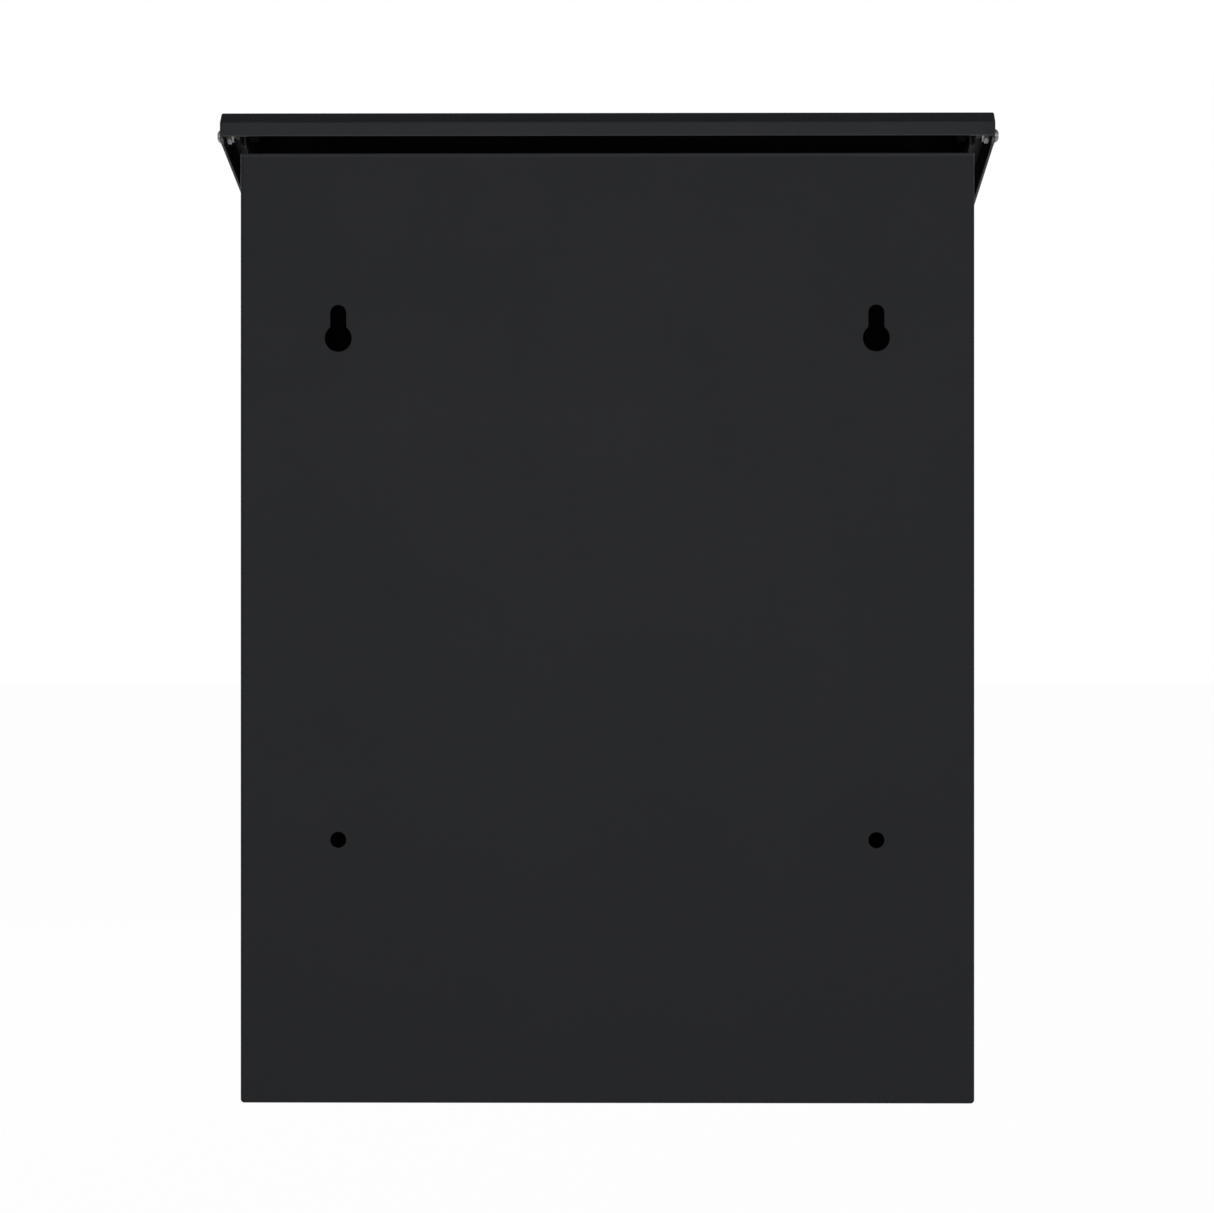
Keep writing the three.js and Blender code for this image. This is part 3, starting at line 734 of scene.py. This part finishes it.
def lid_surface(lid):
    """Grid of the lid's outer face, rows along the fold line and columns across the lid,
    and how far each of its points lies in the painted highlight along the rear edges.

    Across the middle a point is the fold line's own. Over each side bend of radius r it is
    the fold line moved inward by r (1 - cos t), with x = half - r + r sin t. Down the skirt
    it goes straight to the foot line's point at the same share of length. The shares are
    those of both lines' own points, so that each keeps its bends.
    """
    row_step, least_share, columns, bend_steps = 4.0, 0.002, 41, 7
    highlight_full_to, highlight_gone_from = 0.4 * lid.corner, 0.8 * lid.corner
    fold, foot = lid_lines(lid)
    # An extra row at the highlight band's height keeps the painted highlight at the rear wall's
    # foot narrow.
    fold = np.insert(fold, 1, fold[0] + (0.0, lid.rim), axis=0)
    shares, others = shares_of(refined(fold, row_step)), shares_of(foot)
    apart = np.abs(others[:, None] - shares).min(axis=1) > least_share
    shares = np.sort(np.concatenate([shares, others[apart]]))
    fold, foot = along_line(fold, shares), along_line(foot, shares)
    tangent = np.gradient(fold, shares, axis=0)
    tangent /= np.linalg.norm(tangent, axis=1, keepdims=True)
    inward = np.stack([tangent[:, 1], -tangent[:, 0]], axis=1)
    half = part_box("lid_shell")[1].x / MM
    side_bend = lid.side_bend
    angle = np.linspace(0.0, np.pi / 2, bend_steps)
    bend_x = half - side_bend + side_bend * np.sin(angle)
    bend_in = side_bend * (1 - np.cos(angle))
    bent = fold[:, None, :] + inward[:, None, :] * bend_in[None, :, None]
    foot[:, 0] = np.minimum(foot[:, 0], bent[-1, -1, 0])
    down = np.append(np.linspace(0.0, 0.8, 5)[1:], [1.0 - lid.rim / lid.skirt, 1.0])
    down = down[None, :, None]
    skirt = bent[:, -1:, :] + (foot[:, None, :] - bent[:, -1:, :]) * down
    half_line = np.concatenate([bent, skirt], axis=1)
    half_x = np.concatenate([bend_x, np.full(skirt.shape[1], half)])
    middle_x = np.linspace(-bend_x[0], bend_x[0], columns)[1:-1]
    middle_line = np.repeat(fold[:, None, :], len(middle_x), axis=1)
    line = np.concatenate([half_line[:, ::-1], middle_line, half_line], axis=1)
    x = np.concatenate([-half_x[::-1], middle_x, half_x])
    x = np.repeat(x[None, :], len(fold), axis=0)
    # Painted highlight: the rear wall's foot row and the skirts' edges near their rear corners are
    # marked for the coat's highlight colour.
    rim = np.zeros(x.shape)
    rim[0] = lid.foot_highlight
    behind = foot[:, 0] - fold[0, 0]
    rim[:, [0, -1]] = (1.0 - soft_step(behind, highlight_full_to, highlight_gone_from))[:, None]
    return MM * np.stack([x, -line[..., 0], line[..., 1]], axis=-1), rim


class MAILBOX_OT_lid(bpy.types.Operator):
    """Builds the sloping lid as one folded surface with its sheet thickness."""

    bl_idname = "mailbox.lid"
    bl_label = "Lid"

    def execute(self, context):
        lid = context.scene.mailbox_lid
        points, rim = lid_surface(lid)
        piece = sheet_of("lid_finished", points, rim=rim)
        wall = piece.modifiers.new("sheet", "SOLIDIFY")
        wall.thickness = lid.sheet * MM
        wall.offset = -1.0
        wall.use_even_offset = True
        edge = piece.modifiers.new("edge", "BEVEL")
        edge.width = lid.edge * MM
        edge.segments = 4
        edge.use_clamp_overlap = False
        edge.limit_method = "ANGLE"
        edge.angle_limit = math.radians(50)
        settle(piece, "lid_shell", "lid", "black_coat", sharp=60.0, finish="lid_coat")
        return {"FINISHED"}


def pan_head_screw(name, node, side):
    """A threaded screw with a domed pan head and a crossed recess."""
    crown, outward = outer_end(node, side)
    length, _, head_width = size_of(node)
    head_radius = head_width / 2
    seat_gap, tip = 0.05, 0.35
    head_height = abs(crown[0]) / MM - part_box("lid_shell")[1].x / MM - seat_gap
    shank, pitch, plain_neck = 1.5, 0.5, 1.4
    recess_width, recess_length, recess_depth = 0.34, 1.7, 1.15
    head = rounded([
        (0.0, 0.0),
        (0.72 * head_radius, -0.02, 2.2),
        (head_radius, -0.5 * head_height, 0.7),
        (head_radius, -head_height, 0.12),
        (shank, -head_height),
        (shank, -length + tip),
        (shank - tip, -length),
        (0.0, -length),
    ])

    def cut(radius, distance, angle):
        cross = np.maximum(
            slot_depth(radius, angle, recess_width, recess_length),
            slot_depth(radius, angle, recess_length, recess_width),
        )
        taper = recess_depth * (1.0 - 0.35 * np.clip(radius / recess_length, 0, 1))
        on_face = distance > -0.5 * head_height
        distance = np.where(on_face, distance - taper * cross, distance)
        start, end = -length + 0.2, -head_height - plain_neck
        return thread(radius, distance, angle, shank, pitch, start, end), distance

    profile = refined(head, 0.1)
    return settle(turned(name, profile, crown, outward, 96, cut), node, "lid", "zinc")


def collar_nut(name, node, side):
    """A lock nut: a chamfered hexagon with a rounded collar, turned as a ring."""
    face, outward = outer_end(node, side)
    length, across_flats, _ = size_of(node)
    corner = across_flats / math.sqrt(3)
    hexagon, collar = 2.1, 2.45
    bore = 1.75
    chamfer = 0.28
    ring = rounded([
        (bore, -0.5 * length),
        (bore, -0.3),
        (bore + 0.3, 0.0),
        (0.5 * across_flats, 0.0),
        (corner, -chamfer),
        (corner, -hexagon + chamfer),
        (0.5 * across_flats, -hexagon),
        (collar, -hexagon),
        (collar, -length, 0.55),
        (bore + 0.15, -length, 0.1),
        (bore, -length + 0.4),
        (bore, -0.5 * length),
    ])

    def cut(radius, distance, angle):
        return flats(radius, angle, across_flats, 6), distance

    return settle(turned(name, refined(ring, 0.12), face, outward, 96, cut), node, "lid", "zinc")


def pivot_cap(name, node, side):
    """A push-on cap: a domed cylinder with a blind bore for the screw's end."""
    mouth, outward = outer_end(node, side)
    length, _, width = size_of(node)
    radius = width / 2
    bore, bore_depth = 1.8, 3.4
    line = rounded([
        (0.0, -bore_depth),
        (bore, -bore_depth),
        (bore, 0.0, 0.1),
        (radius, 0.0, 0.3),
        (radius, -length, 1.3),
        (0.0, -length),
    ], steps=8)
    return settle(turned(name, refined(line, 0.3), mouth, outward, 64), node, "lid", "black_nylon")


def pivot_bushing(name, node, side):
    """A flanged bushing: a rounded ring on a short sleeve."""
    face, outward = outer_end(node, side)
    length, _, width = size_of(node)
    radius = width / 2
    flange, sleeve, bore = 1.5, 2.5, 1.8
    line = rounded([
        (bore, -0.5 * length),
        (bore, 0.0, 0.2),
        (radius, 0.0, 0.35),
        (radius, -flange, 0.25),
        (sleeve, -flange),
        (sleeve, -length, 0.2),
        (bore, -length, 0.1),
        (bore, -0.5 * length),
    ])
    piece = turned(name, refined(line, 0.25), face, outward, 64)
    return settle(piece, node, "box", "black_nylon")


class MAILBOX_OT_lid_pivots(bpy.types.Operator):
    """Builds the screws, lock nuts, caps and bushings that carry the lid."""

    bl_idname = "mailbox.lid_pivots"
    bl_label = "Lid pivots"

    def execute(self, context):
        for name, side in SIDES.items():
            pan_head_screw(f"pivot_screw_{name}", f"hinge_screw_{name}", side)
            collar_nut(f"pivot_nut_{name}", f"hinge_lock_nut_{name}", side)
            pivot_cap(f"screw_cap_{name}", f"pivot_cap_{name}", side)
            pivot_bushing(f"ear_bushing_{name}", f"pivot_bushing_{name}", side)
        return {"FINISHED"}


class MAILBOX_OT_lid_bumpers(bpy.types.Operator):
    """Builds the rubber bumpers that the closed lid rests on."""

    bl_idname = "mailbox.lid_bumpers"
    bl_label = "Lid bumpers"

    def execute(self, context):
        tip, barb, barb_height, neck = 1.9, 2.6, 1.4, 1.5
        seat_gap = 0.3
        for name in SIDES:
            node = f"lid_bumper_{name}"
            width, _, height = size_of(node)
            radius = width / 2
            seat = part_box("front_frame")[1].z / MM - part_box(node)[0].z / MM + seat_gap
            line = rounded([
                (0.0, 0.0),
                (tip, 0.0, 0.4),
                (barb, barb_height, 0.25),
                (neck, barb_height),
                (neck, seat),
                (radius, seat, 0.3),
                (radius, 0.82 * height, 1.1),
                (0.62 * radius, height, 2.0),
                (0.0, height),
            ], steps=8)
            foot = on_axis(node, 2, 0)
            piece = turned(f"rubber_{name}", refined(line, 0.3), foot, (0, 0, 1), 64)
            settle(piece, node, "box", "rubber")
        return {"FINISHED"}


class MAILBOX_OT_door_pivots(bpy.types.Operator):
    """Builds the door's headed pins and their nylon washers."""

    bl_idname = "mailbox.door_pivots"
    bl_label = "Door pivots"

    def execute(self, context):
        head, shank, bore = 1.5, 2.0, 2.3
        for level, up in (("upper", 1.0), ("lower", -1.0)):
            end = 1 if up > 0 else 0
            node = f"door_pin_{level}"
            width, _, length = size_of(node)
            radius = width / 2
            line = rounded([
                (0.0, 0.0),
                (0.75 * radius, -0.05, 1.2),
                (radius, -0.6, 0.35),
                (radius, -head, 0.1),
                (shank, -head),
                (shank, -length + 0.1, 0.4),
                (0.0, -length),
            ], steps=8)
            pin = turned(f"pin_{level}", refined(line, 0.3), on_axis(node, 2, end), (0, 0, up), 64)
            settle(pin, node, "box", "zinc")
            node = f"door_washer_{level}"
            width, _, thick = size_of(node)
            radius = width / 2
            line = rounded([
                (bore, -0.5 * thick),
                (bore, 0.0, 0.1),
                (radius, 0.0, 0.2),
                (radius, -thick, 0.2),
                (bore, -thick, 0.1),
                (bore, -0.5 * thick),
            ])
            ring = turned(f"washer_{level}", line, on_axis(node, 2, end), (0, 0, up), 64)
            settle(ring, node, "box", "white_nylon")
        return {"FINISHED"}


def lock_front(node):
    """The point on a lock piece's axis at its foremost end."""
    axis = middle("lock_plug")
    return Vector((axis.x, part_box(node)[0].y, axis.z))


def lock_body():
    """The lock's threaded barrel under a bevelled flange, turned as a ring."""
    node = "lock_housing"
    width, length, _ = size_of(node)
    flange, flange_thick = width / 2, 2.0
    barrel, bore, mouth = 8.0, 5.7, 6.6
    pitch, plain_neck = 1.0, 0.6
    line = rounded([
        (bore, -0.5 * length),
        (bore, -0.9, 0.2),
        (mouth, 0.0, 0.25),
        (flange - 1.6, 0.0, 0.9),
        (flange, -1.15, 0.35),
        (flange, -flange_thick, 0.15),
        (barrel, -flange_thick),
        (barrel, -length + 0.5),
        (barrel - 0.5, -length),
        (bore, -length, 0.15),
        (bore, -0.5 * length),
    ], steps=8)

    def cut(radius, distance, angle):
        start, end = -length + 0.2, -flange_thick - plain_neck
        return thread(radius, distance, angle, barrel, pitch, start, end), distance

    piece = turned("lock_body", refined(line, 0.2), lock_front(node), FORWARD, 128, cut)
    settle(piece, node, "door", "chrome")


def lock_core():
    """The plug with its keyway, and the square stub that carries the cam."""
    node = "lock_plug"
    width, length, _ = size_of(node)
    radius = width / 2
    square, stub = 6.0, 2.0
    half_key, half_keyway, ward, soft = 3.2, 0.8, 0.5, 0.08
    keyway_depth, groove_depth, groove_radius = 6.0, 0.18, 4.4
    stub_corner = 0.72 * square
    line = rounded([
        (0.0, 0.0),
        (radius, 0.0, 0.35),
        (radius, -length + stub, 0.1),
        (stub_corner, -length + stub),
        (stub_corner, -length),
        (0.0, -length),
    ])

    def cut(grid_radius, distance, angle):
        keyway = slot_depth(grid_radius, angle, half_key, half_keyway, soft)
        warded = keyway * (1.0 - 0.5 * slot_depth(grid_radius, angle, ward, half_keyway, soft))
        groove = groove_depth * slot_ring(grid_radius, groove_radius, 0.25)
        on_face = distance > -0.3
        distance = np.where(on_face, distance - keyway_depth * warded - groove, distance)
        at_stub = distance < -length + stub + 0.05
        squared = flats(grid_radius, angle, square, 4)
        return np.where(at_stub & (grid_radius > 0.5 * square), squared, grid_radius), distance

    face_depth = -0.4
    fine, coarse = refined(line, 0.11), refined(line, 0.6)
    profile = np.vstack([fine[fine[:, 1] > face_depth], coarse[coarse[:, 1] <= face_depth]])
    piece = turned("lock_core", profile, lock_front(node), FORWARD, 192, cut)
    settle(piece, node, "lock", "chrome")


def slot_ring(radius, centre, half_width):
    """A round groove about one radius: a raised cosine of the distance from it."""
    away = np.clip(np.abs(radius - centre) / half_width, 0.0, 1.0)
    return 0.5 * (1.0 + np.cos(np.pi * away))


def flat_ring(name, node, body, slot, bore, teeth=0):
    """A flat washer with rounded edges; teeth make a locking washer's inner notches."""
    width, thick, _ = size_of(node)
    radius = width / 2
    edge = 0.2 * thick
    line = rounded([
        (bore, -0.5 * thick),
        (bore, 0.0, edge),
        (radius, 0.0, edge),
        (radius, -thick, edge),
        (bore, -thick, edge),
        (bore, -0.5 * thick),
    ])

    def cut(grid_radius, distance, angle):
        notch = 0.9 * soft_step(np.cos(teeth * angle), -0.4, 0.4)
        inner = 1.0 - soft_step(grid_radius, bore + 0.2, bore + 1.6)
        return grid_radius + notch * inner, distance

    change = cut if teeth else None
    piece = turned(name, refined(line, 0.4), lock_front(node), FORWARD, 192, change)
    settle(piece, node, body, slot)


def mounting_nut():
    """The lock's thin hexagon nut, chamfered on both faces."""
    node = "lock_mounting_nut"
    across_flats, thick, _ = size_of(node)
    corner = across_flats / math.sqrt(3)
    face = 0.49 * across_flats
    bore = 8.3
    inner, outer = 0.3, 0.6
    line = rounded([
        (bore, -0.5 * thick),
        (bore, -inner),
        (bore + inner, 0.0),
        (face, 0.0),
        (corner, -outer),
        (corner, -thick + outer),
        (face, -thick),
        (bore + inner, -thick),
        (bore, -thick + inner),
        (bore, -0.5 * thick),
    ])

    def cut(radius, distance, angle):
        return flats(radius, angle, across_flats, 6), distance

    piece = turned("mounting_nut", refined(line, 0.25), lock_front(node), FORWARD, 192, cut)
    settle(piece, node, "door", "zinc")


def cam_bolt():
    """The hexagon bolt that holds the cam, with its thread in the plug."""
    node = "cam_bolt"
    across_flats, length, _ = size_of(node)
    corner = across_flats / math.sqrt(3)
    shank, pitch, tip = 1.7, 0.7, 0.3
    head = 3.0
    line = rounded([
        (0.0, 0.0),
        (shank - tip, 0.0),
        (shank, -tip),
        (shank, -length + head),
        (0.49 * across_flats, -length + head),
        (corner, -length + head - 0.3),
        (corner, -length + 0.35),
        (0.46 * across_flats, -length),
        (0.0, -length),
    ])

    def cut(radius, distance, angle):
        radius = thread(radius, distance, angle, shank, pitch, -length + head + 0.4, -tip)
        return flats(radius, angle, across_flats, 6), distance

    piece = turned("cam_bolt_finished", refined(line, 0.14), lock_front(node), FORWARD, 96, cut)
    settle(piece, node, "lock", "zinc")


class MAILBOX_OT_cam_lock(bpy.types.Operator):
    """Builds the cam lock: body, nut and washer on the door, and the turning core and cam."""

    bl_idname = "mailbox.cam_lock"
    bl_label = "Cam lock"

    def execute(self, context):
        lock_body()
        lock_core()
        flat_ring("locking_ring", "lock_washer", "door", "zinc", bore=8.3, teeth=16)
        mounting_nut()
        settle(softened("lock_cam", 0.3), "lock_cam", "lock", "zinc")
        flat_ring("cam_ring", "cam_washer", "lock", "zinc", bore=2.0)
        cam_bolt()
        return {"FINISHED"}


def ray(nodes, kind):
    """1 on one kind of light ray (Camera, Glossy or Transmission), and 0 on the others."""
    return nodes.node("ShaderNodeLightPath", {}, {}, f"Is {kind} Ray")


def pale_floor():
    """A pale floor that the camera and reflections see as nearly white, with its shadow."""
    finish = Finish("pale_floor")
    finish.feed({"Base Color": (0.8, 0.8, 0.8, 1.0), "Roughness": 0.8})
    seen = ray(finish, "Camera").larger(ray(finish, "Glossy")).larger(ray(finish, "Transmission"))
    glow = finish.node("ShaderNodeEmission", {}, {"Color": WHITE, "Strength": 1.0})
    lit = Wire(finish, finish.shader.outputs["BSDF"])
    mixed = finish.node("ShaderNodeMixShader", {}, {0: FLOOR_GLOW * seen, 1: lit, 2: glow})
    finish.fill(finish.tree.nodes["Material Output"], {"Surface": mixed})
    return finish.material


def softbox(name, place, target, size, power):
    """A square area light at a place, turned to face a target."""
    light = bpy.data.lights.new(name, "AREA")
    light.shape = "SQUARE"
    light.size = size
    light.energy = power
    lamp = bpy.data.objects.new(name, light)
    lamp.location = place
    lamp.rotation_euler = (Vector(target) - Vector(place)).to_track_quat("-Z", "Y").to_euler()
    bpy.context.scene.collection.objects.link(lamp)


def white_surround(ambient, overhead):
    """A world that the camera sees as white, and that lights the pieces from all round.

    Its light falls from 1 at the horizon to overhead at the zenith, as in a room whose
    walls are pale and whose ceiling is dim. Diffuse light has a share of ambient of that.
    """
    world = bpy.data.worlds.new("surround")
    world.use_nodes = True
    nodes = Nodes(world.node_tree)
    direction = nodes.node("ShaderNodeTexCoord", {}, {}, "Generated")
    height = nodes.node("ShaderNodeSeparateXYZ", {}, {0: direction}, "Z")
    sky = 1.0 - (1.0 - overhead) * height.smooth(0.05, 0.85)
    mirrored = ray(nodes, "Glossy").larger(ray(nodes, "Transmission"))
    light = sky * (ambient + (1.0 - ambient) * mirrored)
    nodes.fill(nodes.tree.nodes["Background"], {
        "Color": WHITE,
        "Strength": light.larger(ray(nodes, "Camera")),
    })
    bpy.context.scene.world = world


class MAILBOX_OT_stage(bpy.types.Operator):
    """Sets the camera behind the mailbox, a pale floor below it and soft lights."""

    bl_idname = "mailbox.stage"
    bl_label = "Stage"

    def execute(self, context):
        stage = context.scene.mailbox_stage
        low, high = (Vector(corner) for corner in FRAME_BOX)
        camera = bpy.data.objects.new("camera", bpy.data.cameras.new("camera"))
        camera.data.lens = stage.lens
        camera.data.clip_end = FAR
        camera.data.shift_x = stage.shift
        camera.location = (stage.aside, stage.distance, stage.height)
        camera.rotation_euler = (math.pi / 2, 0.0, math.pi + stage.yaw)
        context.scene.collection.objects.link(camera)
        context.scene.camera = camera

        reach = np.array([-FLOOR_REACH, FLOOR_REACH])
        x, y = np.meshgrid(reach, reach)
        z = np.full(x.shape, low.z - stage.floor_drop)
        floor = sheet_of("floor", np.stack([x, y, z], axis=-1))
        floor.data.materials.append(pale_floor())

        centre = (low + high) / 2
        for name, (place, size, power) in SOFTBOXES.items():
            softbox(name, place, centre, size, getattr(stage, power))
        white_surround(stage.ambient, stage.overhead)
        context.scene.view_settings.view_transform = "Standard"
        return {"FINISHED"}


class MAILBOX_PT_panel(bpy.types.Panel):
    """Lists the mailbox's settings and its pieces."""

    bl_label = "Wall Mailbox"
    bl_idname = "MAILBOX_PT_panel"
    bl_space_type = "VIEW_3D"
    bl_region_type = "UI"
    bl_category = "Mailbox"

    def draw(self, context):
        layout = self.layout
        for group in (context.scene.mailbox_finish, context.scene.mailbox_lid,
                      context.scene.mailbox_stage):
            box = layout.box()
            for name in group.__annotations__:
                box.prop(group, name)
        for step in STEPS:
            layout.operator(step.bl_idname)


STEPS = (
    MAILBOX_OT_sheet_pieces,
    MAILBOX_OT_lid,
    MAILBOX_OT_lid_pivots,
    MAILBOX_OT_lid_bumpers,
    MAILBOX_OT_door_pivots,
    MAILBOX_OT_cam_lock,
    MAILBOX_OT_stage,
)
GROUPS = {
    "mailbox_finish": MailboxFinish,
    "mailbox_lid": MailboxLid,
    "mailbox_stage": MailboxStage,
}


def register():
    """Registers the settings, the operators and the panel."""
    for name, group in GROUPS.items():
        bpy.utils.register_class(group)
        setattr(bpy.types.Scene, name, PointerProperty(type=group))
    for kind in STEPS + (MAILBOX_PT_panel,):
        bpy.utils.register_class(kind)


def unregister():
    """Takes back everything that register added."""
    for kind in reversed(STEPS + (MAILBOX_PT_panel,)):
        bpy.utils.unregister_class(kind)
    for name, group in reversed(GROUPS.items()):
        delattr(bpy.types.Scene, name)
        bpy.utils.unregister_class(group)


def main():
    register()
    for step in STEPS:
        family, name = step.bl_idname.split(".")
        getattr(getattr(bpy.ops, family), name)()


if __name__ == "__main__":
    main()
